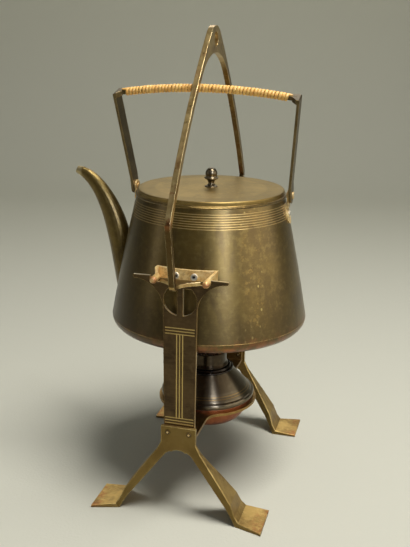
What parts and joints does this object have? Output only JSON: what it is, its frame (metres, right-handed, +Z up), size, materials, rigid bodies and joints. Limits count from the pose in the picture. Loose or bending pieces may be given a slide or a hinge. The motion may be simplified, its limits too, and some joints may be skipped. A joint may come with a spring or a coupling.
{
  "type": "spirit kettle on stand",
  "caption": "Conical brass spirit kettle with a cane-wound swing handle and lift-off lid, hung on brackets in a two-post stand with a carrying bail, over a spirit burner.",
  "frame": {"origin": "on the table, at the middle of the whole part's footprint", "axes": "+Z up; -X is the side of the spout; the two posts stand at -Y (front) and +Y (back)"},
  "size_m": [0.22, 0.2582, 0.4137],
  "materials": {
    "post_bronze": "dark brown patina, satin, with gilt engraved lines",
    "foot_brass": "worn golden brass, satin",
    "bail_brass": "golden brass with brown and reddish patina, satin",
    "kettle_brass": "olive brown patina, satin, rubbed bright in places",
    "lid_brass": "pale olive brass, polished flat",
    "handle_bronze": "dark brown patina, satin",
    "burner_bronze": "dark brown patina, satin, reddish at the bowl",
    "fitting_brass": "polished golden brass",
    "rivet_brass": "reddish brass, satin",
    "rivet_white": "white metal, bright",
    "cane": "varnished split cane, glossy",
    "cotton": "woven cotton, matte"
  },
  "bodies": {
    "stand": {"post_front": "post_bronze", "post_back": "post_bronze", "foot_front": "foot_brass", "foot_back": "foot_brass", "stand_rivets": "rivet_brass", "bail": "bail_brass", "burner_strap": "foot_brass"},
    "kettle": {"kettle_body": "kettle_brass", "kettle_foot": "kettle_brass", "kettle_base": "kettle_brass", "lid_seat": "kettle_brass", "spout": "kettle_brass", "lug_spout_side": "fitting_brass", "lug_handle_side": "fitting_brass", "lug_rivets": "rivet_white", "bracket_front": "fitting_brass", "bracket_back": "fitting_brass", "bracket_rivets": "rivet_white", "hinge_pins": "rivet_brass"},
    "handle": {"handle_frame": "handle_bronze", "cane_wrap": "cane"},
    "lid": {"lid": "lid_brass", "lid_collar": "kettle_brass", "finial": "handle_bronze", "finial_stud": "rivet_brass"},
    "burner": {"burner_bowl": "burner_bronze", "burner_shoulder": "burner_bronze", "burner_collar": "burner_bronze", "wick_tube": "fitting_brass", "wick": "cotton"},
    "sleeve": {"flame_sleeve": "burner_bronze"}
  },
  "joints": [
    {"name": "kettle_tilt", "type": "hinge", "parent": "stand", "child": "kettle", "pos_m": [-0.0022, 0, 0.21398], "axis": [0, -1, 0], "range_deg": [0, 20]},
    {"name": "handle_swing", "type": "hinge", "parent": "kettle", "child": "handle", "pos_m": [0.02, 0, 0.272], "axis": [1, 0, 0], "range_deg": [-137, 105]},
    {"name": "lid_lift", "type": "slide", "parent": "kettle", "child": "lid", "axis": [0, 0, 1], "range_m": [0, 0.05]},
    {"name": "burner_lift", "type": "slide", "parent": "stand", "child": "burner", "axis": [0, 0, 1], "range_m": [0, 0.016]},
    {"name": "sleeve_lift", "type": "slide", "parent": "burner", "child": "sleeve", "axis": [0, 0, 1], "range_m": [0, 0.008]}
  ]
}
